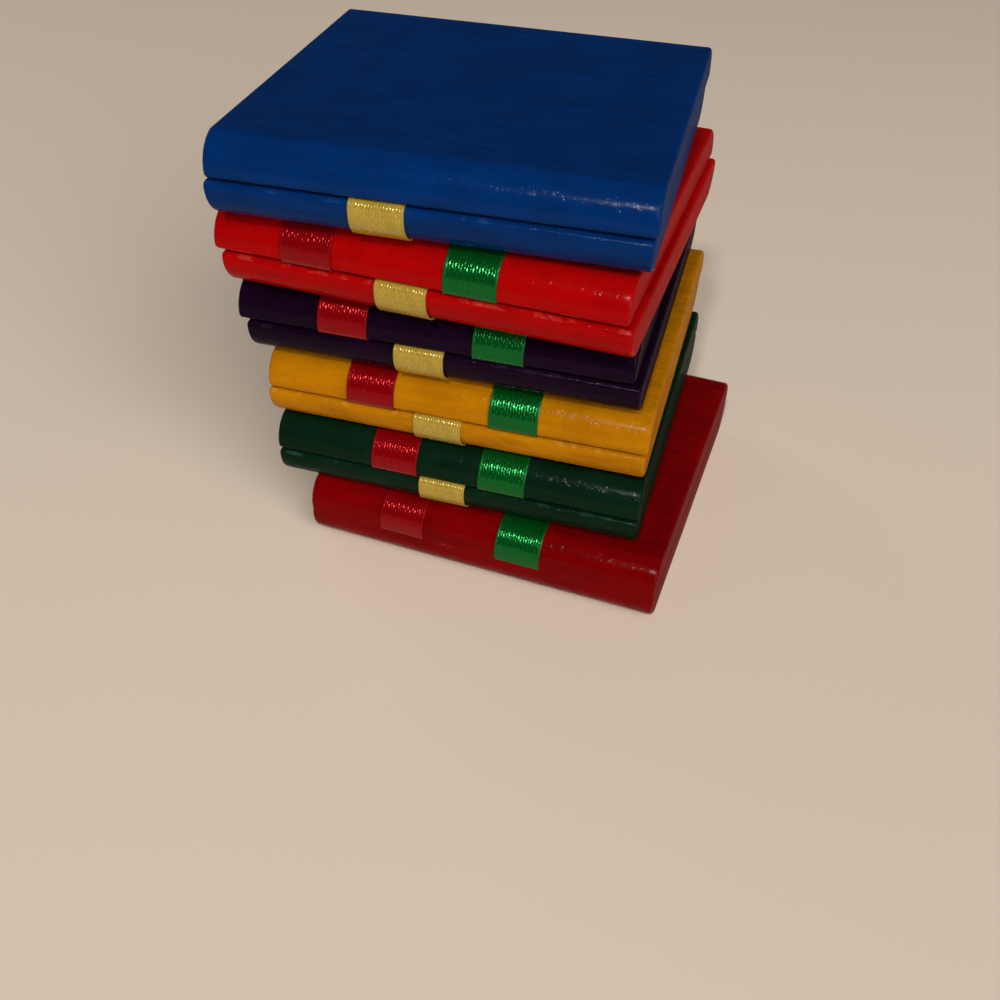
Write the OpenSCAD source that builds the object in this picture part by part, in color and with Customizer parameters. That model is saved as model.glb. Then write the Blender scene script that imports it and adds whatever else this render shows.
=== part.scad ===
// Jacob's ladder toy: six painted tablets, each of two leaves glued over three ribbons,
// lying as a loosely squared stack. The front ends face -Y and the base tablet stands on Z = 0.

/* [Tablet] */
// Width of a tablet, across the ribbons
tablet_w = 50.8; // [40:0.1:70]
// Length of a tablet, from one hinge end to the other
tablet_l = 50; // [40:0.5:70]
// Thickness of each of a tablet's two leaves
leaf_t = 4.85; // [4.65:0.05:7]
// Rounding of the outer edges that the ribbons turn over
edge_round = 3.3; // [2:0.1:3.5]
// Easing of the inner edges on both sides of the seam
seam_round = 1.1; // [0.5:0.1:1.3]
// Easing beside the base tablet's seam, which is glued up tight
tight_round = 0.3; // [0.2:0.05:1]
// Rounding of the upright corners
corner_round = 0.6; // [0.2:0.1:2]

/* [Ribbon] */
// Width of the ribbons
ribbon_w = 6.4; // [5:0.1:7]
// Thickness of the ribbons
ribbon_t = 0.2; // [0.15:0.01:0.3]
// Free height beside each ribbon in the space between two tablets
ribbon_play = 0.035; // [0.02:0.005:0.2]
// Free length where a ribbon's fold over an edge meets its run under the tablet
crease = 0.15; // [0.1:0.05:0.4]
// Length of a ribbon's end that is glued into the top or the base tablet
tail = 18; // [10:1:19]
// Place of the red ribbon, from a tablet's middle line
red_place = -11; // [-13:0.5:-10.5]
// Place of the gold ribbon, from a tablet's middle line
gold_place = -2; // [-3:0.25:-1.5]
// Place of the green ribbon, from a tablet's middle line
green_place = 7; // [6:0.5:12]

/* [Hidden] */
$fn = 96;
TABLETS = ["blue", "scarlet", "purple", "yellow", "green", "crimson"];
PAINT = ["#0d3b78", "#c4120f", "#221030", "#c98a12", "#12402a", "#8e0d12"];
RIBBONS = ["red", "gold", "green"];
DYE = ["#b3142a", "#cdb04c", "#0c7a3c"];
RED = 0;
GOLD = 1;
GREEN = 2;
LAST = len(TABLETS) - 1;

// How each tablet lies against the base tablet, from the top of the stack to the bottom
shift_x = [-7.6, -7.6, -8.4, -5.75, -5.35, 0];
shift_y = [-4.2, -3.1, 0.1, 0.9, 0.8, 0];
turn = [5.8, 1.3, 4.6, 4.3, 3.5, 0];
// How far each lower leaf was glued sideways of its upper leaf
slip = [-0.3, 0.7, 0.9, -0.2, 0, 0];
// How far each ribbon strays from its place on each tablet
stray = [
    [-1.7, -2.2, -0.3, 0, 2.8, -0.1],
    [-3.3, 0.5, 0.5, 0, 0.5, -5.5],
    [1.9, 0, 1.6, 1.1, -0.2, -1]
];

tablet_t = 2 * leaf_t + ribbon_t;
gap = 2 * ribbon_t + 3 * ribbon_play;
pitch = tablet_t + gap;

function leaf_name(k, side) = str(TABLETS[k], "_", side, "_leaf");
function fold_name(c, k) = str(RIBBONS[c], "_ribbon_in_", TABLETS[k]);
function run_name(c, k) = str(RIBBONS[c], "_ribbon_under_", TABLETS[k]);
function half_run_name(k, end) = str(run_name(GOLD, k), "_", end);

function ribbon_x(c, k) = [red_place, gold_place, green_place][c] + stray[c][k];
function seam_ease(k) = k == LAST ? tight_round : seam_round;
// The rounding that a leaf has room for beside its seam's easing
function outer_round(ease) = min(edge_round, leaf_t - ease - ribbon_t);
// Distance from a tablet's middle to where a ribbon's run under or over it starts
function run_end(k) = tablet_l / 2 - outer_round(seam_ease(k)) - crease;
function tablet_z(k) = (LAST - k) * pitch;
function turned(p, a) = [p.x * cos(a) - p.y * sin(a), p.x * sin(a) + p.y * cos(a)];
function on_tablet(k, x, y) = turned([x, y], turn[k]) + [shift_x[k], shift_y[k]];
// The left and right edge of a ribbon where it leaves a tablet's front (-1) or rear (1) fold
function ribbon_edges(c, k, end) =
    [for (side = [-1, 1]) on_tablet(k, ribbon_x(c, k) + side * ribbon_w / 2, end * run_end(k))];

// What a rounding takes off a square corner that points up and to the right, about the rounding's centre
module corner_cut(r) {
    difference() {
        square(r + corner_round);
        circle(r);
    }
}

// A leaf seen from the side, its seam face on the axis, grown outwards by a ribbon's thickness if need be
module leaf_profile(ease, grow = 0) {
    half = tablet_l / 2;
    outer = outer_round(ease);
    difference() {
        translate([-half - grow, -grow])
            square([tablet_l + 2 * grow, leaf_t + 2 * grow]);
        for (end = [-1, 1]) {
            translate([end * (half - outer), leaf_t - outer])
                rotate(end > 0 ? 0 : 90)
                    corner_cut(outer + grow);
            translate([end * (half - ease), ease])
                rotate(end > 0 ? 270 : 180)
                    corner_cut(ease + grow);
        }
    }
}

// The outline of a tablet from above, with its corners rounded
module tablet_outline() {
    square([tablet_w - 2 * corner_round, tablet_l], center = true);
    square([tablet_w, tablet_l - 2 * corner_round], center = true);
    for (x = [-1, 1], y = [-1, 1])
        translate([x * (tablet_w / 2 - corner_round), y * (tablet_l / 2 - corner_round)])
            circle(corner_round);
}

// Stands a profile of length and height up across a tablet
module across(width) {
    rotate([90, 0, 90])
        linear_extrude(width, center = true)
            children();
}

module leaf(ease) {
    intersection() {
        across(tablet_w)
            leaf_profile(ease);
        linear_extrude(leaf_t)
            tablet_outline();
    }
}

module on_stack(k) {
    translate([shift_x[k], shift_y[k], tablet_z(k)])
        rotate(turn[k])
            children();
}

module upper_leaf(k) {
    color(PAINT[k])
        on_stack(k)
            translate([0, 0, leaf_t + ribbon_t])
                leaf(seam_ease(k));
}

module lower_leaf(k) {
    color(PAINT[k])
        on_stack(k)
            translate([slip[k], 0, leaf_t])
                mirror([0, 0, 1])
                    leaf(seam_ease(k));
}

// A ribbon's fold out of the seam and over the front end of the leaf above it, seen from the side
module fold_profile(ease) {
    intersection() {
        difference() {
            leaf_profile(ease, ribbon_t);
            leaf_profile(ease);
        }
        translate([-tablet_l / 2 - ribbon_t, -ribbon_t])
            square([outer_round(ease) + ribbon_t, leaf_t + 2 * ribbon_t]);
    }
}

// A ribbon's path through a tablet: over the upper leaf in front, and over the lower leaf behind
module through_profile(k) {
    ease = seam_ease(k);
    mouth = tablet_l / 2 - ease;
    from = k > 0 ? -mouth : mouth - tail;
    to = k < LAST ? mouth : tail - mouth;
    translate([from, 0])
        square([to - from, ribbon_t]);
    if (k > 0)
        translate([0, ribbon_t])
            fold_profile(ease);
    if (k < LAST)
        rotate(180)
            fold_profile(ease);
}

// The stretch of a ribbon that is glued into a tablet and folds over its ends
module ribbon_fold(c, k) {
    color(DYE[c])
        on_stack(k)
            translate([ribbon_x(c, k), 0, leaf_t])
                across(ribbon_w)
                    if (c == GOLD)
                        mirror([1, 0])
                            through_profile(k);
                    else
                        through_profile(k);
}

// A flat stretch of ribbon under tablet k, in the lower or the upper layer of the space there
module ribbon_layer(c, k, layer, corners) {
    color(DYE[c])
        translate([0, 0, tablet_z(k) - gap + ribbon_play + layer * (ribbon_t + ribbon_play)])
            linear_extrude(ribbon_t)
                polygon(corners);
}

// A red or green run: from the rear of tablet k to the front of the tablet below
module ribbon_run(c, k) {
    from = ribbon_edges(c, k, 1);
    to = ribbon_edges(c, k + 1, -1);
    ribbon_layer(c, k, 0, [to[0], to[1], from[1], from[0]]);
}

// Half of a gold run: from the front of tablet k, or from the rear of the tablet below, to the middle
module gold_half_run(k, end) {
    front = ribbon_edges(GOLD, k, -1);
    rear = ribbon_edges(GOLD, k + 1, 1);
    middle = (front + rear) / 2;
    outer = end == "front" ? front : rear;
    ribbon_layer(GOLD, k, 1, [outer[0], outer[1], middle[1], middle[0]]);
}

for (k = [0:LAST]) {
    upper_leaf(k);
    lower_leaf(k);
}
for (c = [RED:GREEN], k = [0:LAST]) {
    ribbon_fold(c, k);
}
for (c = [RED, GREEN], k = [0:LAST - 1]) {
    ribbon_run(c, k);
}
for (end = ["front", "rear"], k = [0:LAST - 1]) {
    gold_half_run(k, end);
}
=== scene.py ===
# %% [markdown]
# # A Jacob's ladder toy
# Six painted wooden tablets lie as a loose stack. Each is two leaves glued face to face over three satin
# ribbons, and the ribbons hinge every tablet to the next at both ends. The CAD model already has the
# sizes, the bodies and the joints, so it is loaded as a fixed frame, and this lesson dresses it: leaves
# with hand-worked edges, ribbons that are real strips of cloth, and the paint and satin that cover them.

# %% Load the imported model
import math

import bmesh
import bpy
from mathutils import Matrix, Vector


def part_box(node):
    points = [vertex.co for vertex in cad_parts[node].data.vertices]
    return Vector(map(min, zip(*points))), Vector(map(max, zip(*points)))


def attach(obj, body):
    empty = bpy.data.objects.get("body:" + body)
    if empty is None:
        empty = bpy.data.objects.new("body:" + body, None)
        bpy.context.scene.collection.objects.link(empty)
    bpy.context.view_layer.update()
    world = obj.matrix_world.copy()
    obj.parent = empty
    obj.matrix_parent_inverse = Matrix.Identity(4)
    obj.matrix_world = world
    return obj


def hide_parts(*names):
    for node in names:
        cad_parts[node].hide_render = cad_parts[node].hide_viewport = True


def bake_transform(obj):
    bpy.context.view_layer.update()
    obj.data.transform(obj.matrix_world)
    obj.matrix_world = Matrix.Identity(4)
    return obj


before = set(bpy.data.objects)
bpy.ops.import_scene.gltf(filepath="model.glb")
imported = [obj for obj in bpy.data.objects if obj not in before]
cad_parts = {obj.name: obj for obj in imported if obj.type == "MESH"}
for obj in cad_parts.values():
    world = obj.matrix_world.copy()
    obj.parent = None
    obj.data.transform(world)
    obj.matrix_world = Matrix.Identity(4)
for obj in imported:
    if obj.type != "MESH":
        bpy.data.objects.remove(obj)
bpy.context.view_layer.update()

# %% [markdown]
# ## The sizes that everything shares
# Blender works in metres and the toy was measured in millimetres, so each length is written in millimetres
# times MM. The tablets don't lie square: every one has its own shift and turn against the base tablet. A
# piece could be modelled right where it lies, but every cut would then be askew. A matrix for each tablet
# holds its place instead, so a piece is modelled in the tablet's own plain frame and then put on the
# stack. In that frame X runs across the ribbons, the front end is at -Y, and Z = 0 is the tablet's
# underside. One of these sizes differs from the CAD model: the easing beside the seams is smaller, as in
# the photograph.

# %% Sizes and the lie of the stack
MM = 0.001
TABLETS = ["blue", "scarlet", "purple", "yellow", "green", "crimson"]
RIBBONS = ["red", "gold", "green"]
BASE = len(TABLETS) - 1

tablet_w = 50.8 * MM
tablet_l = 50 * MM
leaf_t = 4.85 * MM
edge_round = 3.3 * MM
seam_round = 0.8 * MM
tight_round = 0.3 * MM
ribbon_w = 6.4 * MM
ribbon_t = 0.2 * MM
ribbon_play = 0.035 * MM
tail = 18 * MM

shift_x = [-7.6, -7.6, -8.4, -5.75, -5.35, 0]
shift_y = [-4.2, -3.1, 0.1, 0.9, 0.8, 0]
turn = [5.8, 1.3, 4.6, 4.3, 3.5, 0]
slip = [-0.3, 0.7, 0.9, -0.2, 0, 0]
ribbon_place = {"red": -11, "gold": -2, "green": 7}
stray = {
    "red": [-1.7, -2.2, -0.3, 0, 2.8, -0.1],
    "gold": [-3.3, 0.5, 0.5, 0, 0.5, -5.5],
    "green": [1.9, 0, 1.6, 1.1, -0.2, -1],
}

tablet_t = 2 * leaf_t + ribbon_t
gap = 2 * ribbon_t + 3 * ribbon_play
pitch = tablet_t + gap


def on_stack(k):
    """The matrix that puts tablet k, modelled in its own frame, on the stack."""
    place = Vector((shift_x[k] * MM, shift_y[k] * MM, (BASE - k) * pitch))
    return Matrix.Translation(place) @ Matrix.Rotation(math.radians(turn[k]), 4, "Z")


print("stack height, mm:", round((BASE * pitch + tablet_t) / MM, 2))

# %% [markdown]
# ## The camera
# The photograph was matched by fitting a camera to the corners and seam lines of all six tablets. That
# gave the place, the direction and a small roll. A camera could be aimed by a constraint, but a roll is
# easier to keep in a matrix. A camera looks along its own -Z axis, so the matrix is built from three
# directions: to the right, up, and back from the view.

# %% Camera at the photograph's viewing angle
camera_place = Vector((39.09, -129.66, 110.25)) * MM
heading, look_down, roll = (math.radians(angle) for angle in (-18.851, 40.51, 1.819))
image_px = 1000
focal_px = 1103
sensor = 36
nearest_seen = 10 * MM

forward = Vector((
    math.sin(heading) * math.cos(look_down),
    math.cos(heading) * math.cos(look_down),
    -math.sin(look_down),
))
to_right = Vector((math.cos(heading), -math.sin(heading), 0))
level_view = Matrix((to_right, to_right.cross(forward), -forward)).transposed()

bpy.ops.object.camera_add(location=camera_place)
camera = bpy.context.object
camera.name = "photo_camera"
camera.rotation_euler = (level_view @ Matrix.Rotation(roll, 3, "Z")).to_euler()
camera.data.sensor_width = sensor
camera.data.lens = focal_px / image_px * sensor
camera.data.clip_start = nearest_seen
scene = bpy.context.scene
scene.camera = camera
print("camera lens, mm:", round(camera.data.lens, 2))

# %% [markdown]
# ## The floor and the room
# The toy stands on a plain pale surface. A large plane is enough for that, in one colour without a
# pattern, so that nothing draws the eye away. It belongs to the stage and not to the toy. The Standard
# view transform keeps the colours as they are written, and a faint blue-white world stands for the light
# of the room.

# %% Floor and world
floor_size = 6
floor_colour = (0.78, 0.65, 0.53, 1)
floor_roughness = 0.8
room_colour = (0.9, 0.95, 1, 1)
room_strength = 0.06

scene.view_settings.view_transform = "Standard"
bpy.ops.object.select_all(action="DESELECT")
bpy.ops.mesh.primitive_plane_add(size=floor_size)
floor = bpy.context.object
floor.name = "floor"
floor_paint = bpy.data.materials.new("pale_floor")
floor_paint.use_nodes = True
floor_shader = floor_paint.node_tree.nodes["Principled BSDF"]
floor_shader.inputs["Base Color"].default_value = floor_colour
floor_shader.inputs["Roughness"].default_value = floor_roughness
floor.data.materials.append(floor_paint)

world = bpy.data.worlds.new("room")
world.use_nodes = True
background = world.node_tree.nodes["Background"]
background.inputs["Color"].default_value = room_colour
background.inputs["Strength"].default_value = room_strength
scene.world = world
print("floor:", floor_size, "m wide; world strength:", room_strength)

# %% [markdown]
# ## The light
# A broad panel in front on the right gives the form and the soft shadow. It hangs far away, so that it
# lights the floor evenly round the toy. A weak fill behind on the left keeps the shaded ends readable.
# Broad lamps alone leave satin and gloss flat, so a small lamp in front makes the sparkles. Where they lie
# on the bends of the ribbons tells how high it must stand.

# %% Lamps
lamps_aim = Vector((0, 0, 30 * MM))


def add_panel(name, place, size, power, colour):
    """A soft square lamp that faces the middle of the stack."""
    bpy.ops.object.light_add(type="AREA", location=place)
    panel = bpy.context.object
    panel.name = name
    panel.rotation_euler = (lamps_aim - panel.location).to_track_quat("-Z", "Y").to_euler()
    panel.data.shape = "SQUARE"
    panel.data.size = size
    panel.data.energy = power
    panel.data.color = colour


add_panel("soft_panel", place=(1.26, -1.35, 1.23), size=1.8, power=48, colour=(1, 0.97, 0.93))
add_panel("rear_fill", place=(-1.3, 0.7, 0.4), size=0.7, power=3, colour=(1, 0.98, 0.95))
add_panel("small_lamp", place=(0.045, -0.57, 0.62), size=0.045, power=2.2, colour=(1, 0.97, 0.92))

# %% [markdown]
# ## Helpers for working in edit mode
# Operators act on what is selected, so every step first says what that is. These helpers start a piece
# with nothing else selected, and select edges by their place. A bmesh view of the mesh in edit mode only
# reads places and sets selections: the operators do the shaping, as they would under the mouse.

# %% Selection helpers
NEAR = 0.002 * MM


def select_only(piece):
    bpy.ops.object.select_all(action="DESELECT")
    piece.select_set(True)
    bpy.context.view_layer.objects.active = piece


def begin(piece):
    """Makes a piece the only selected one and opens it for editing."""
    select_only(piece)
    bpy.ops.object.mode_set(mode="EDIT")


def done():
    bpy.ops.object.mode_set(mode="OBJECT")


def select_edges(piece, wanted):
    """Selects the edges whose two ends pass the test."""
    bpy.ops.mesh.select_mode(type="EDGE")
    bpy.ops.mesh.select_all(action="DESELECT")
    bm = bmesh.from_edit_mesh(piece.data)
    for edge in bm.edges:
        if wanted(edge.verts[0].co, edge.verts[1].co):
            edge.select_set(True)
    bmesh.update_edit_mesh(piece.data)


def cut_across(axis, places):
    """Cuts the whole piece with planes square to an axis."""
    for place in places:
        bpy.ops.mesh.select_all(action="SELECT")
        bpy.ops.mesh.bisect(plane_co=axis * place, plane_no=axis, threshold=NEAR)


def apply_modifiers(piece):
    select_only(piece)
    for modifier in list(piece.modifiers):
        bpy.ops.object.modifier_apply(modifier=modifier.name)


def copy_of(piece, name, place):
    """A copy with its own mesh, whose place is in that mesh."""
    twin = piece.copy()
    twin.data = piece.data.copy()
    twin.name = name
    twin.data.name = name
    scene.collection.objects.link(twin)
    twin.data.transform(place)
    return twin


print("edges are found by place, within", NEAR / MM, "mm")

# %% [markdown]
# ## One leaf
# A leaf is a little board of about 5 mm stock. Its outer edges at both ends, which the ribbons turn over,
# are sanded to a large round that meets the flat face at a faint line. The edges beside the seam are
# eased, and those of the sides are only broken. A profile could be drawn and extruded, but a box that is
# worked like the wood keeps every step readable. A board that is too thick gets the large round and is
# then cut flat at the right thickness, which leaves the faint line, and the other edges follow. Cuts
# across the board come last: their even grid lets the surface be made a little uneven later on. The base
# tablet's seam is glued up tight and painted over, so its leaf has no easing and fills its half of the
# seam.

# %% Model the leaf for a normal seam and the leaf for the tight one
X, Y, Z = Vector((1, 0, 0)), Vector((0, 1, 0)), Vector((0, 0, 1))
side_break = 0.5 * MM
sanded_round = 4.2 * MM
meets_face = math.radians(17)
crown = sanded_round * (1 - math.cos(meets_face))
sanded_off = 0.04 * MM
grid = 2 * MM
beside_break = 3 * side_break
end_cuts = [0.3, 0.6]
round_segments = 14
ease_segments = 10
break_segments = 4


def along_x(a, b):
    return abs(a.y - b.y) < NEAR and abs(a.z - b.z) < NEAR


def on_side(a, b):
    return abs(a.x - b.x) < NEAR and abs(abs(a.x) - tablet_w / 2) < NEAR


def grid_lines(reach):
    steps = int(reach / grid)
    return [i * grid for i in range(-steps, steps + 1)]


def model_leaf(name, ease=0, fill=0):
    """A leaf in its own frame: outer face up, seam face on Z = 0, or below it where the seam is filled."""
    thick = crown + leaf_t + fill
    middle = Z * (thick / 2 - fill)
    bpy.ops.object.select_all(action="DESELECT")
    bpy.ops.mesh.primitive_cube_add(size=1, location=middle, scale=(tablet_w, tablet_l, thick))
    leaf = bpy.context.object
    leaf.name = name
    bpy.ops.object.transform_apply(location=True, rotation=True, scale=True)
    begin(leaf)
    select_edges(leaf, lambda a, b: along_x(a, b) and a.z > leaf_t)
    bpy.ops.mesh.bevel(offset=sanded_round, segments=round_segments, affect="EDGES")
    bpy.ops.mesh.select_all(action="SELECT")
    bpy.ops.mesh.bisect(plane_co=Z * leaf_t, plane_no=Z, clear_outer=True, use_fill=True, threshold=NEAR)
    if ease:
        select_edges(leaf, lambda a, b: along_x(a, b) and a.z < NEAR and abs(a.y) > tablet_l / 2 - NEAR)
        bpy.ops.mesh.bevel(offset=ease, segments=ease_segments, affect="EDGES")
    select_edges(leaf, on_side)
    bpy.ops.mesh.bevel(offset=side_break, segments=break_segments, affect="EDGES")
    cut_across(X, grid_lines(tablet_w / 2))
    cut_across(X, [side * (tablet_w / 2 - beside_break) for side in (-1, 1)])
    cut_across(Y, grid_lines(tablet_l / 2 - sanded_round))
    cut_across(Z, [leaf_t * share for share in end_cuts])
    done()
    print(name, "has", len(leaf.data.polygons), "faces")
    return leaf


leaf_pattern = model_leaf("leaf_pattern", ease=seam_round)
tight_pattern = model_leaf("tight_leaf_pattern", fill=ribbon_t / 2 + sanded_off)

# %% [markdown]
# ## Twelve leaves on the stack
# The upper leaf of a tablet lies on the ribbons with its seam face down. The lower leaf is the same board
# turned over, and it slipped sideways a little in gluing. Sanding by hand never leaves a face quite flat
# or an edge quite straight. Vertices could be pushed about one by one, but a Displace modifier with a slow
# cloud pattern does it everywhere at once: it takes off a few hundredths of a millimetre. It only takes
# away, so that no leaf grows into a ribbon. The pattern follows the place on the stack, so no two leaves
# are alike.

# %% Place the leaves and make them uneven
crisp_from = math.radians(12)
hand_sanding = bpy.data.textures.new("hand_sanding", "CLOUDS")
hand_sanding.noise_scale = 14 * MM
hand_sanding.noise_depth = 1
turned_over = Matrix.Rotation(math.pi, 4, "Y")

leaves = {}
for k, tablet in enumerate(TABLETS):
    pattern = tight_pattern if k == BASE else leaf_pattern
    places = {
        "upper": Matrix.Translation(Z * (leaf_t + ribbon_t)),
        "lower": Matrix.Translation(Vector((slip[k] * MM, 0, leaf_t))) @ turned_over,
    }
    for side, place in places.items():
        leaf = copy_of(pattern, f"{tablet}_{side}_board", on_stack(k) @ place)
        uneven = leaf.modifiers.new("hand sanding", "DISPLACE")
        uneven.texture = hand_sanding
        uneven.texture_coords = "LOCAL"
        uneven.mid_level = 1
        uneven.strength = sanded_off
        apply_modifiers(leaf)
        bpy.ops.object.shade_smooth_by_angle(angle=crisp_from)
        leaves[tablet, side] = leaf
for pattern in (leaf_pattern, tight_pattern):
    bpy.data.objects.remove(pattern)

low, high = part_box("blue_upper_leaf")
board = leaves["blue", "upper"].bound_box
print("blue upper leaf, mm: CAD", [round(size / MM, 2) for size in high - low],
      "here", [round((board[6][i] - board[0][i]) / MM, 2) for i in range(3)])

# %% [markdown]
# ## One ribbon fold
# A ribbon comes out of the seam, bends round the eased edge, goes up the front of the leaf and bends over
# the rounded edge. A thin solid could be cut to that shape, but a strip that is led along the path is
# closer to cloth. A plane is the bit in the seam, its front edge is extruded up and then back over the
# leaf, and the two sharp folds are bevelled with the rounding's size plus half the thickness of the cloth.
# The large bend is a touch flatter than a circle, so that the ribbon lies snug. The pattern is made once
# for the normal seam and once for the tight one.

# %% Model the fold over an upper leaf's front end
lead = 0.4 * MM
past_round = 0.2 * MM
half_t = ribbon_t / 2
seam_z = leaf_t + half_t
bend_radius = edge_round + half_t
bend_segments = 12
bend_profile = 0.47
mouth_segments = 7
low_fold = Vector((0, -tablet_l / 2 - half_t, seam_z))
top_fold = Vector((0, low_fold.y, tablet_t + half_t))
fold_end = top_fold + Y * (bend_radius + past_round)


def at_edge(piece, centre):
    """Selects the strip's edge whose middle lies at a point."""
    select_edges(piece, lambda a, b: ((a + b) / 2 - centre).length < NEAR)


def model_fold(name, ease):
    seam_end = -tablet_l / 2 + ease + lead
    bpy.ops.object.select_all(action="DESELECT")
    bpy.ops.mesh.primitive_plane_add(size=1, location=(0, (seam_end + low_fold.y) / 2, seam_z))
    fold = bpy.context.object
    fold.name = name
    fold.scale = (ribbon_w, seam_end - low_fold.y, 1)
    bpy.ops.object.transform_apply(location=True, rotation=True, scale=True)
    begin(fold)
    at_edge(fold, low_fold)
    bpy.ops.mesh.extrude_edges_move(TRANSFORM_OT_translate={"value": top_fold - low_fold})
    bpy.ops.mesh.extrude_edges_move(TRANSFORM_OT_translate={"value": fold_end - top_fold})
    at_edge(fold, top_fold)
    bpy.ops.mesh.bevel(offset=bend_radius, segments=bend_segments, profile=bend_profile, affect="EDGES")
    at_edge(fold, low_fold)
    bpy.ops.mesh.bevel(offset=ease + half_t, segments=mouth_segments, affect="EDGES")
    done()
    print(name, "has", len(fold.data.vertices), "vertices")
    return fold


fold_pattern = model_fold("fold_pattern", seam_round)
tight_fold_pattern = model_fold("tight_fold_pattern", tight_round)

# %% [markdown]
# ## The four places of a fold
# The red and the green ribbon fold over the upper leaf in front and over the lower leaf behind, and the
# gold one the other way round. Four folds could be modelled, but a half turn about an axis through the
# middle of the tablet makes each of them out of the first. When the toy opens, a run turns over by half a
# turn while its fold stays on the tablet. Spread over the whole bend, so large a turn would drag the cloth
# through the wood, so two points are worked out on the large bend's fifth row of faces, where the change
# would go.

# %% Turn the fold to its places
hinge_row = 4.5
row_angle = math.radians(90) / bend_segments
row_inset = math.radians(2)
bend_centre = top_fold + (Y - Z) * bend_radius
middle_up = Matrix.Translation(Z * tablet_t / 2)


def on_bend(angle):
    """The point of a fold's large bend at an angle from where it leaves the flat face."""
    return bend_centre + (Z * math.cos(angle) - Y * math.sin(angle)) * bend_radius


def turned_fold(axis):
    """A half turn of a fold about an axis through the middle of its tablet."""
    return middle_up @ Matrix.Rotation(math.pi, 4, axis) @ middle_up.inverted()


FOLD_AT = {
    ("front", "upper"): Matrix.Identity(4),
    ("rear", "lower"): turned_fold("X"),
    ("front", "lower"): turned_fold("Y"),
    ("rear", "upper"): turned_fold("Z"),
}


def ribbon_x(ribbon, k):
    return (ribbon_place[ribbon] + stray[ribbon][k]) * MM


def fold_place(ribbon, k, end, side):
    return on_stack(k) @ Matrix.Translation(X * ribbon_x(ribbon, k)) @ FOLD_AT[end, side]


hinge_from = on_bend(hinge_row * row_angle - row_inset)
hinge_to = on_bend(hinge_row * row_angle + row_inset)
print("a run changes over to its fold within", round((hinge_to - hinge_from).length / MM, 2), "mm")

# %% [markdown]
# ## Thirty ribbon lengths between the tablets
# In each of the five spaces a ribbon leaves the tablet above, crosses under it, and ends on the tablet
# below. The red and the green leave at the rear and arrive in front, and the gold goes the other way. Each
# crossing could be one piece with a fold at both ends, but a piece that bends follows two bodies, and a
# crossing meets more. So it is made as two lengths that meet in the middle. A length is a copy of the
# fold, turned to its end of the tablet, whose last edge is led on into the space and halfway across, with
# half of the turn between the two tablets.

# %% Lead the folds on to the middle of each space
crease = 1.2 * MM


def layer_z(ribbon, k):
    """Height of a run under tablet k: the gold lies over the other two."""
    layer = 1 if ribbon == "gold" else 0
    return (BASE - k) * pitch - gap + ribbon_play + layer * (ribbon_t + ribbon_play) + half_t


def lead_on(piece, start, goal, angle):
    """Extrudes the edge at a point to another point, and turns it there."""
    at_edge(piece, start)
    bpy.ops.mesh.extrude_edges_move(TRANSFORM_OT_translate={"value": goal - start})
    if angle:
        bpy.ops.transform.rotate(value=-angle, orient_axis="Z", orient_type="GLOBAL", center_override=goal)


def ribbon_length(name, ribbon, k, other, end, side):
    """A fold on tablet k and half of the run towards the other tablet, with the points of its hinge row."""
    pattern = tight_fold_pattern if k == BASE else fold_pattern
    mine = fold_place(ribbon, k, end, side)
    far_end = "rear" if end == "front" else "front"
    theirs = fold_place(ribbon, other, far_end, "upper" if side == "lower" else "lower")
    level = layer_z(ribbon, min(k, other))
    start = mine @ fold_end
    middle = (start + theirs @ fold_end) / 2
    middle.z = level
    step = start + (middle - start).normalized() * crease
    step.z = level
    piece = copy_of(pattern, name, mine)
    begin(piece)
    lead_on(piece, start, step, 0)
    lead_on(piece, step, middle, math.radians(turn[other] - turn[k]) / 2)
    done()
    return piece, mine @ hinge_from, mine @ hinge_to


lengths = []
for k, tablet in enumerate(TABLETS[:BASE]):
    below = TABLETS[k + 1]
    for ribbon in RIBBONS:
        gold = ribbon == "gold"
        leave, arrive = ("front", "rear") if gold else ("rear", "front")
        run_from = f"gold_front_under_{tablet}" if gold else f"outer_ribbons_under_{tablet}"
        run_to = f"gold_rear_under_{tablet}" if gold else f"outer_ribbons_under_{tablet}"
        node = f"{ribbon}_ribbon_under_{tablet}"
        first = ribbon_length(f"{ribbon}_ribbon_from_{tablet}", ribbon, k, k + 1, leave, "lower")
        second = ribbon_length(f"{ribbon}_ribbon_to_{below}", ribbon, k + 1, k, arrive, "upper")
        lengths.append((*first, ribbon, k, run_from, node + ("_front" if gold else "")))
        lengths.append((*second, ribbon, k + 1, run_to, node + ("_rear" if gold else "")))
for pattern in (fold_pattern, tight_fold_pattern):
    bpy.data.objects.remove(pattern)
print(len(lengths), "ribbon lengths, each of", len(lengths[0][0].data.vertices), "vertices so far")

# %% [markdown]
# ## Eighteen strips inside the tablets
# Between its folds a ribbon is glued flat in the seam, and it stays with its tablet whatever the hinges
# do. In the top and the base tablet it ends in a short tail. These strips only show as the cut edge of
# cloth in the seam, so plain planes are enough, but they close the ribbon from one end of the toy to the
# other.

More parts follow.
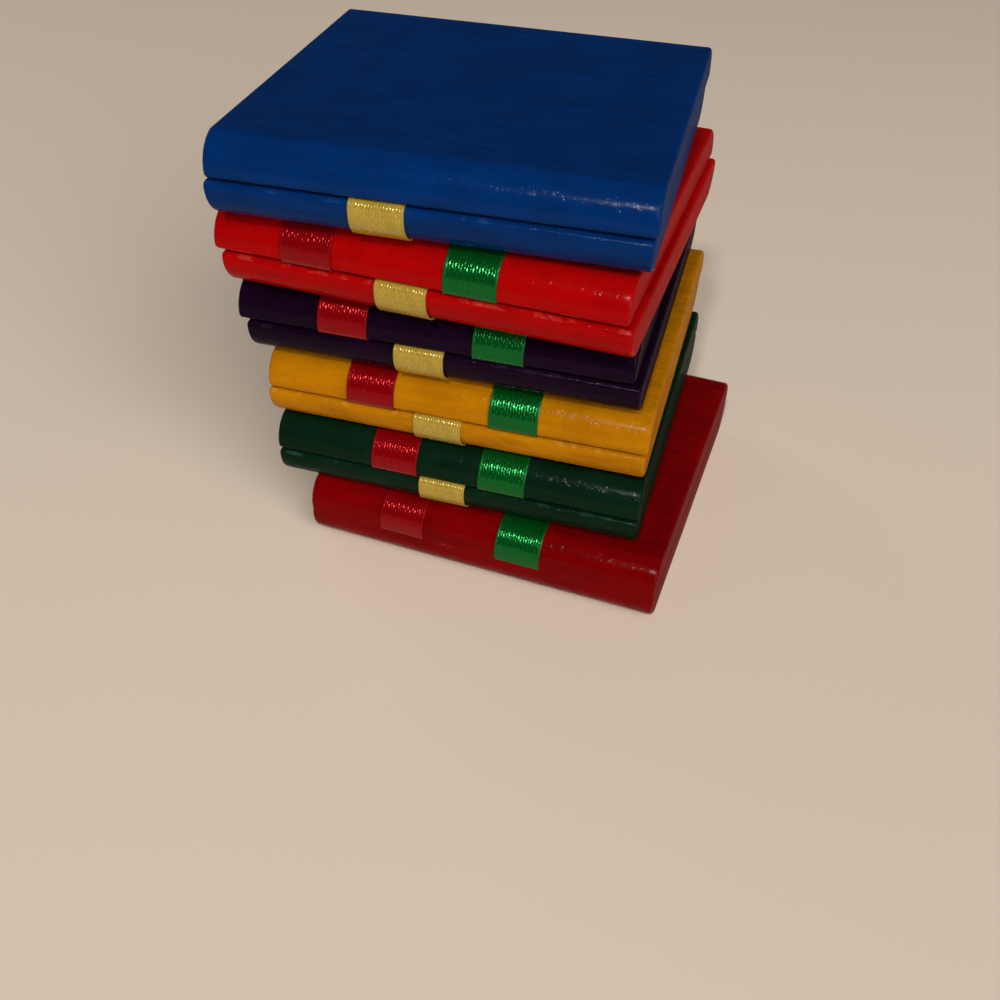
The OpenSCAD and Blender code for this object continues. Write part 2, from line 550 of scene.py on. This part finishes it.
# %% Model the glued strips
strips = []
for k, tablet in enumerate(TABLETS):
    ease = tight_round if k == BASE else seam_round
    mouth = tablet_l / 2 - ease - lead
    inner_end = mouth + lead - tail
    for ribbon in RIBBONS:
        open_front = k > 0 if ribbon != "gold" else k < BASE
        open_rear = k < BASE if ribbon != "gold" else k > 0
        front = -mouth if open_front else inner_end
        rear = mouth if open_rear else -inner_end
        bpy.ops.object.select_all(action="DESELECT")
        bpy.ops.mesh.primitive_plane_add(size=1)
        strip = bpy.context.object
        strip.name = f"{ribbon}_ribbon_glued_in_{tablet}"
        middle = Vector((ribbon_x(ribbon, k), (front + rear) / 2, seam_z))
        strip.data.transform(Matrix.Diagonal((ribbon_w, rear - front, 1, 1)))
        strip.data.transform(on_stack(k) @ Matrix.Translation(middle))
        strips.append((strip, ribbon, k))
print(len(strips), "strips")

# %% [markdown]
# ## A flat lay for the weave
# The weave has to follow the cloth round its bends. A projection from one side would stretch it there, so
# every strip gets a UV map of itself laid flat: U goes across the ribbon and V along it, both counted in
# ribbon widths. Walking from rung to rung of the strip measures V, and so it also measures the ribbon.

# %% Lay the strips flat in UV
rung_slack = 0.05 * ribbon_w


def is_rung(length):
    return abs(length - ribbon_w) < rung_slack


def lay_flat(piece):
    """Walks along a strip of quads and writes its flat lay as a UV map."""
    bm = bmesh.new()
    bm.from_mesh(piece.data)
    lay = bm.loops.layers.uv.new("flat_lay")
    rung = next(e for e in bm.edges if e.is_boundary and is_rung(e.calc_length())
                and all(len(v.link_edges) == 2 for v in e.verts))
    left, right = rung.verts
    face, along = rung.link_faces[0], 0.0
    while face:
        next_left = next(e.other_vert(left) for e in face.edges if left in e.verts and e is not rung)
        next_right = next(e.other_vert(right) for e in face.edges if right in e.verts and e is not rung)
        reach = ((next_left.co + next_right.co) - (left.co + right.co)).length / 2 / ribbon_w
        spots = {
            left: (0, along), right: (1, along),
            next_left: (0, along + reach), next_right: (1, along + reach),
        }
        for loop in face.loops:
            loop[lay].uv = spots[loop.vert]
        along += reach
        rung = next(e for e in face.edges if next_left in e.verts and next_right in e.verts)
        left, right = next_left, next_right
        face = next((f for f in rung.link_faces if f is not face), None)
    bm.to_mesh(piece.data)
    bm.free()
    return along * ribbon_w


cloth_pieces = [(piece, ribbon) for piece, _, _, ribbon, *_ in lengths]
cloth_pieces += [(strip, ribbon) for strip, ribbon, _ in strips]
used = {ribbon: 0 for ribbon in RIBBONS}
for piece, ribbon in cloth_pieces:
    used[ribbon] += lay_flat(piece)
print("ribbon in the toy, mm:", {ribbon: round(length / MM) for ribbon, length in used.items()})

# %% [markdown]
# ## Thickness and smooth bends
# The cloth is a fifth of a millimetre thick, which shows at its cut edges and where it lies on the paint.
# A second strip could be laid over the first, but Solidify gives the thickness in one step, half of it on
# each side of the path. Before that the strip is divided along its runs and across, so that no face is
# long and thin.

# %% Divide the strips and thicken them
across_cuts = 7
run_cuts = 5
run_edge = 1.5 * ribbon_w
soft_up_to = math.radians(40)


def make_cloth(piece):
    begin(piece)
    bpy.ops.mesh.select_all(action="SELECT")
    bpy.ops.mesh.normals_make_consistent(inside=False)
    select_edges(piece, lambda a, b: (a - b).length > run_edge)
    bpy.ops.mesh.subdivide(number_cuts=run_cuts)
    select_edges(piece, lambda a, b: is_rung((a - b).length))
    bpy.ops.mesh.subdivide(number_cuts=across_cuts)
    done()
    cloth = piece.modifiers.new("cloth", "SOLIDIFY")
    cloth.thickness = ribbon_t
    cloth.offset = 0
    cloth.use_even_offset = True
    apply_modifiers(piece)
    bpy.ops.object.shade_smooth_by_angle(angle=soft_up_to)


for piece, ribbon in cloth_pieces:
    make_cloth(piece)
print("faces of cloth:", sum(len(piece.data.polygons) for piece, ribbon in cloth_pieces))

# %% [markdown]
# ## Node helpers
# A material is a tree of nodes, and writing it in code gets long when every node and link takes a line of
# its own. One helper adds a node, sets its properties, and fills its inputs with numbers or with links.
# Another opens an empty group with named sockets, for an effect that several materials share.

# %% Helpers for nodes and colours
def set_inputs(tree, node, inputs):
    """Sets or links the inputs of a node."""
    for name, value in inputs.items():
        if isinstance(value, bpy.types.NodeSocket):
            tree.links.new(value, node.inputs[name])
        else:
            node.inputs[name].default_value = value


def add(tree, kind, inputs=None, **settings):
    """A new node with its settings, and its inputs set or linked."""
    made = tree.nodes.new("ShaderNode" + kind)
    for name, value in settings.items():
        setattr(made, name, value)
    set_inputs(tree, made, inputs or {})
    return made


def calc(tree, operation, *values):
    """A Math node's result."""
    return add(tree, "Math", dict(enumerate(values)), operation=operation).outputs[0]


def new_group(name, inputs, outputs):
    """An empty group, and its own input and output nodes."""
    group = bpy.data.node_groups.new(name, "ShaderNodeTree")
    for socket, kind in inputs.items():
        group.interface.new_socket(socket, in_out="INPUT", socket_type="NodeSocket" + kind)
    for socket, kind in outputs.items():
        group.interface.new_socket(socket, in_out="OUTPUT", socket_type="NodeSocket" + kind)
    return group, group.nodes.new("NodeGroupInput").outputs, group.nodes.new("NodeGroupOutput").inputs


def use_group(tree, group, inputs):
    placed = tree.nodes.new("ShaderNodeGroup")
    placed.node_tree = group
    set_inputs(tree, placed, inputs)
    return placed.outputs


def linear(hex_colour):
    """A web colour as the linear numbers that a shader takes."""
    parts = [int(hex_colour[i:i + 2], 16) / 255 for i in (1, 3, 5)]
    return (*[c / 12.92 if c <= 0.04045 else ((c + 0.055) / 1.055) ** 2.4 for c in parts], 1)


print("mid grey in linear light:", [round(c, 3) for c in linear("#808080")])

# %% [markdown]
# ## Brush marks, a shared effect
# Enamel brushed on by hand keeps shallow furrows along the stroke, drifts a little in depth of colour, and
# dries with fine dimples. A photograph of paint could be used, but it would repeat and stretch, so three
# noise patterns make these marks: one stretched along the stroke, one slow and one fine. The group gives
# out the streaks, the drift and a height, and every paint uses it with its own colours.

# %% Group: brush marks
stroke_scale = (180, 900, 900)
furrow_height = 0.5
drift_height = 1.2


def noise(tree, where, scale, detail, roughness):
    """A noise pattern's grey value."""
    inputs = {"Vector": where, "Scale": scale, "Detail": detail, "Roughness": roughness}
    return add(tree, "TexNoise", inputs).outputs["Fac"]


brush_marks, marks_in, marks_out = new_group(
    "brush_marks", {"Vector": "Vector"}, {"Streaks": "Float", "Drift": "Float", "Height": "Float"})
tree = brush_marks
here = marks_in["Vector"]
stroke = add(tree, "Mapping", {"Vector": here, "Scale": stroke_scale}).outputs[0]
furrows = noise(tree, stroke, scale=1, detail=2, roughness=0.5)
drift = noise(tree, here, scale=140, detail=2, roughness=0.5)
dimples = noise(tree, here, scale=800, detail=2, roughness=0.55)
height = calc(tree, "ADD", calc(tree, "MULTIPLY", furrows, furrow_height), dimples)
height = calc(tree, "ADD", height, calc(tree, "MULTIPLY", drift, drift_height))
tree.links.new(furrows, marks_out["Streaks"])
tree.links.new(drift, marks_out["Drift"])
tree.links.new(height, marks_out["Height"])
print("group", brush_marks.name, "has", len(brush_marks.nodes), "nodes")

# %% [markdown]
# ## Where the paint wears, where a highlight is painted, and where it is dull
# Handling and the clack of wood on wood rub the paint on the sharp edges, and only the rounded ends have a
# polish. A shader could guess such places from the curvature, but the modelling knows them exactly. So
# every leaf carries two attributes, worked out vertex by vertex in its tablet's frame. "arris" is high on
# the broken edges of the sides, where the paint is worn, and on the eased edges beside the seam, where the
# pale colour it brings is worn paint and a painted highlight. "matt" is 1 on the flat faces and the sides.

# %% Mark the leaves' edges and flat faces
arris_rub = 0.7
# The eased edges beside the seam get pale patches of worn paint and a painted highlight.
ease_rub_and_highlight = 0.8
on_face = 0.1 * side_break
break_reach = 0.9 * side_break
ease_reach = 0.7 * seam_round

for (tablet, side), leaf in leaves.items():
    k = TABLETS.index(tablet)
    offset = slip[k] * MM if side == "lower" else 0
    to_tablet = on_stack(k).inverted()
    for name in ("arris", "matt"):
        leaf.data.attributes.new(name, "FLOAT", "POINT")
    arris, matt = leaf.data.attributes["arris"], leaf.data.attributes["matt"]
    for i, vertex in enumerate(leaf.data.vertices):
        spot = to_tablet @ vertex.co
        from_side = tablet_w / 2 - abs(spot.x - offset)
        from_end = tablet_l / 2 - abs(spot.y)
        on_break = on_face < from_side < break_reach
        on_ease = from_end < ease_reach and abs(spot.z - seam_z) < ease_reach
        # Side breaks: worn paint; eased edges: worn paint and a painted highlight.
        arris.data[i].value = arris_rub if on_break else ease_rub_and_highlight if on_ease else 0
        matt.data[i].value = 1 if from_side <= on_face or from_end > sanded_round else 0
print("arris and matt attributes on", len(leaves), "leaves")

# %% [markdown]
# ## Rubbed and highlighted edges, a shared effect
# Wear doesn't follow an edge evenly: it comes and goes. A line of one width along every edge would look
# printed, so the group multiplies the arris attribute by a noise and keeps only the high values. What is
# left is a row of patches, and every paint shows another shade in them: worn paint on the side breaks, and
# worn paint with a painted highlight on the eased edges beside the seam.

# %% Group: rubbed and highlighted edges
rubbed_edges, edge_group_in, edge_group_out = new_group(
    "rubbed_edges", {"Vector": "Vector", "Arris": "Float"}, {"Mask": "Float"})
tree = rubbed_edges
patches = noise(tree, edge_group_in["Vector"], scale=330, detail=4, roughness=0.65)
# The mask marks worn paint, and on the eased edges also a painted highlight.
wear_and_highlight_mask = add(tree, "MapRange", {
    "Value": calc(tree, "MULTIPLY", patches, edge_group_in["Arris"]),
    "From Min": 0.42, "From Max": 0.62, "To Min": 0, "To Max": 1})
tree.links.new(wear_and_highlight_mask.outputs["Result"], edge_group_out["Mask"])
print("group", rubbed_edges.name, "has", len(rubbed_edges.nodes), "nodes")

# %% [markdown]
# ## Six paints
# Each tablet has its own gloss enamel. The colour is deeper in the furrows and paler where it is rubbed; on
# the eased edges beside the seam the pale colour is also a painted highlight.
# Full gloss would mirror the pale floor and wash out the dark colours, so the reflection is weak and has
# two layers. A thin smooth coat gives the soft streak on each round. The paint below has a very low
# specular level and little roughness, and its bump breaks the small lamp's reflection into sparkles. At a
# flat angle even such a weak gloss turns white, so the matt attribute makes the flat faces and the sides
# rough.

# %% Paint the leaves
# Body, deep and pale colour of each enamel. The pale one fills the rubbed patches: worn paint, and on the
# eased edges a painted highlight.
PAINTS = {
    "blue": ("#022961", "#022454", "#2f4f84"),
    "scarlet": ("#9e0304", "#8e0304", "#cc5a4c"),
    "purple": ("#150519", "#100413", "#3a2e42"),
    "yellow": ("#ad6e03", "#9c6102", "#d4aa54"),
    "green": ("#082113", "#061a0e", "#34584a"),
    "crimson": ("#730104", "#620103", "#983634"),
}
pale_patch_strength = 0.55
rub_dulls = 0.2
matt_dulls = 0.55
mark_depth = 0.25 * MM
mark_strength = 0.7
sparkle_level = 0.016
coat_weight = 0.07
coat_roughness = 0.18


def paint(tablet, k):
    """A tablet's enamel, brushed square to the tablet."""
    body, deep, pale_patch_colour = (linear(colour) for colour in PAINTS[tablet])
    enamel = bpy.data.materials.new(f"{tablet}_enamel")
    enamel.use_nodes = True
    tree = enamel.node_tree
    shader = tree.nodes["Principled BSDF"]
    where = add(tree, "TexCoord").outputs["Object"]
    square = add(tree, "Mapping", {"Vector": where, "Rotation": (0, 0, -math.radians(turn[k]))}).outputs[0]
    marks = use_group(tree, brush_marks, {"Vector": square})
    arris = add(tree, "Attribute", attribute_name="arris").outputs["Fac"]
    matt = add(tree, "Attribute", attribute_name="matt").outputs["Fac"]
    wear_and_highlight_mask = use_group(tree, rubbed_edges, {"Vector": square, "Arris": arris})["Mask"]

    depth = add(tree, "MapRange", {
        "Value": calc(tree, "ADD", marks["Streaks"], marks["Drift"]),
        "From Min": 0.75, "From Max": 1.25}).outputs["Result"]
    coloured = add(tree, "MixRGB", {"Fac": depth, "Color1": deep, "Color2": body}).outputs[0]
    # Pale patches: worn paint, and on the eased edges a painted highlight.
    pale_patch_mix = calc(tree, "MULTIPLY", wear_and_highlight_mask, pale_patch_strength)
    coloured = add(tree, "MixRGB", {"Fac": pale_patch_mix, "Color1": coloured, "Color2": pale_patch_colour}).outputs[0]

    gloss = add(tree, "MapRange", {
        "Value": marks["Drift"], "From Min": 0.3, "From Max": 0.7,
        "To Min": 0.1, "To Max": 0.16}).outputs["Result"]
    dull = calc(tree, "ADD", calc(tree, "MULTIPLY", wear_and_highlight_mask, rub_dulls),
                calc(tree, "MULTIPLY", matt, matt_dulls))
    bump = add(tree, "Bump", {"Height": marks["Height"], "Strength": mark_strength, "Distance": mark_depth})

    tree.links.new(coloured, shader.inputs["Base Color"])
    tree.links.new(calc(tree, "ADD", gloss, dull), shader.inputs["Roughness"])
    tree.links.new(bump.outputs["Normal"], shader.inputs["Normal"])
    shader.inputs["Specular IOR Level"].default_value = sparkle_level
    shader.inputs["Coat Weight"].default_value = coat_weight
    shader.inputs["Coat Roughness"].default_value = coat_roughness
    return enamel


for k, tablet in enumerate(TABLETS):
    enamel = paint(tablet, k)
    for side in ("upper", "lower"):
        leaves[tablet, side].data.materials.append(enamel)
print("paints:", [f"{tablet}_enamel" for tablet in TABLETS])

# %% [markdown]
# ## Satin weave, a shared effect
# Satin shines because its long threads float over the cross threads. Here they run along the ribbon, each
# about a third of a millimetre wide with a round back, and a ripple in zigzag steps stands for the places
# where a cross thread ties them down. Threads that are modelled one by one would take millions of faces,
# so they are a height for a bump, worked out from the flat lay. The group also gives out a tone that
# changes by chance from float to float, and a mask of the firmer selvedge at both edges.

# %% Group: satin weave
zigzag_rate = 0.45
zigzag_lean = 1.3
tie_rate = 0.4
thread_height = 0.5
ripple_height = 0.2
zigzag_turn = 0.5
ribbon_middle = 0.5

satin_weave, weave_in, weave_out = new_group(
    "satin_weave", {"Lay": "Vector", "Threads": "Float"},
    {"Height": "Float", "Tone": "Float", "Selvedge": "Float"})
tree = satin_weave
lay = add(tree, "SeparateXYZ", {"Vector": weave_in["Lay"]}).outputs
thread = calc(tree, "MULTIPLY", lay["X"], weave_in["Threads"])
pick = calc(tree, "MULTIPLY", lay["Y"], weave_in["Threads"])
back = calc(tree, "ABSOLUTE", calc(tree, "SINE", calc(tree, "MULTIPLY", thread, math.pi)))
zigzag = calc(tree, "PINGPONG", calc(tree, "MULTIPLY", thread, zigzag_rate), zigzag_turn)
steps = calc(tree, "ADD", calc(tree, "MULTIPLY", zigzag, zigzag_lean),
             calc(tree, "MULTIPLY", pick, tie_rate))
ripple = calc(tree, "SINE", calc(tree, "MULTIPLY", steps, 2 * math.pi))
thread_float = add(tree, "CombineXYZ", {"X": calc(tree, "FLOOR", thread), "Y": calc(tree, "FLOOR", steps)})
chance = add(tree, "TexWhiteNoise", {"Vector": thread_float.outputs[0]}, noise_dimensions="2D")
from_middle = calc(tree, "ABSOLUTE", calc(tree, "SUBTRACT", lay["X"], ribbon_middle))
selvedge = add(tree, "MapRange", {"Value": from_middle, "From Min": 0.445, "From Max": 0.465})
height = calc(tree, "ADD", calc(tree, "MULTIPLY", back, thread_height),
              calc(tree, "MULTIPLY", ripple, ripple_height))
tree.links.new(height, weave_out["Height"])
tree.links.new(chance.outputs["Value"], weave_out["Tone"])
tree.links.new(selvedge.outputs["Result"], weave_out["Selvedge"])
print("group", satin_weave.name, "has", len(satin_weave.nodes), "nodes")

# %% [markdown]
# ## Three satins
# The ribbons differ in dye only. Threads that stand high take the light, and that light is painted in:
# their height mixes a deep and a bright shade as painted light and shade, their tone mixes the two at
# random, and the selvedge is a little deeper and rougher. White highlights would make the cloth look like
# plastic. Light that is thrown back by dyed threads keeps their colour, so the specular tint is that of the
# dye. The bump of the threads turns the highlight at each bend into a row of fine sparkles.

# %% Dye the ribbons
# Deep and bright shade of each satin, mixed by painted light and shade on the threads and by random tone,
# then the tint of its reflection.
DYES = {
    "red": ("#6a0106", "#7a0108", (1, 0.07, 0.08, 1)),
    "gold": ("#907824", "#ae9236", (1, 0.88, 0.5, 1)),
    "green": ("#01380d", "#024411", (0.11, 1, 0.3, 1)),
}
threads_across = 18
thread_light_share = 0.6
tone_share = 0.4
selvedge_deepens = 0.5
satin_roughness = 0.2
selvedge_dulls = 0.25
thread_depth = 0.04 * MM


def satin(ribbon):
    """A ribbon's cloth, woven on its flat lay."""
    deep_colour, bright_colour, shine = DYES[ribbon]
    cloth = bpy.data.materials.new(f"{ribbon}_satin")
    cloth.use_nodes = True
    tree = cloth.node_tree
    shader = tree.nodes["Principled BSDF"]
    lay = add(tree, "UVMap", uv_map="flat_lay").outputs["UV"]
    weave = use_group(tree, satin_weave, {"Lay": lay, "Threads": threads_across})
    # Painted light and shade: the thread height gives high threads the bright shade and low ones the deep
    # one; the tone varies at random.
    thread_light_and_tone = calc(tree, "ADD", calc(tree, "MULTIPLY", weave["Height"], thread_light_share),
                calc(tree, "MULTIPLY", weave["Tone"], tone_share))
    kept = calc(tree, "SUBTRACT", 1, calc(tree, "MULTIPLY", weave["Selvedge"], selvedge_deepens))
    dyed = add(tree, "MixRGB", {
        "Fac": calc(tree, "MULTIPLY", thread_light_and_tone, kept),
        "Color1": linear(deep_colour), "Color2": linear(bright_colour)}).outputs[0]
    rough = calc(tree, "ADD", satin_roughness, calc(tree, "MULTIPLY", weave["Selvedge"], selvedge_dulls))
    bump = add(tree, "Bump", {"Height": weave["Height"], "Strength": 1, "Distance": thread_depth})
    tree.links.new(dyed, shader.inputs["Base Color"])
    tree.links.new(rough, shader.inputs["Roughness"])
    tree.links.new(bump.outputs["Normal"], shader.inputs["Normal"])
    shader.inputs["Specular IOR Level"].default_value = 1
    shader.inputs["Specular Tint"].default_value = shine
    return cloth


satins = {ribbon: satin(ribbon) for ribbon in RIBBONS}
for piece, ribbon in cloth_pieces:
    piece.data.materials.append(satins[ribbon])
print("satins:", sorted(cloth.name for cloth in satins.values()))

# %% [markdown]
# ## What moves with what
# Leaves and glued strips ride on their tablet. On the toy a ribbon length follows two bodies: its fold
# stays on its tablet, and the rest goes with its run. Here each length only gets its place baked into its
# mesh, and the CAD nodes that the pieces stand for are hidden.

# %% Ride and replace
for (tablet, side), leaf in leaves.items():
    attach(leaf, f"{tablet}_tablet")
    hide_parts(f"{tablet}_{side}_leaf")

for strip, ribbon, k in strips:
    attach(strip, f"{TABLETS[k]}_tablet")
    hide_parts(f"{ribbon}_ribbon_in_{TABLETS[k]}")

for piece, hinge_start, hinge_end, ribbon, k, run, node in lengths:
    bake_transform(piece)
    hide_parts(node, f"{ribbon}_ribbon_in_{TABLETS[k]}")
print("pieces:", len(leaves) + len(strips) + len(lengths))
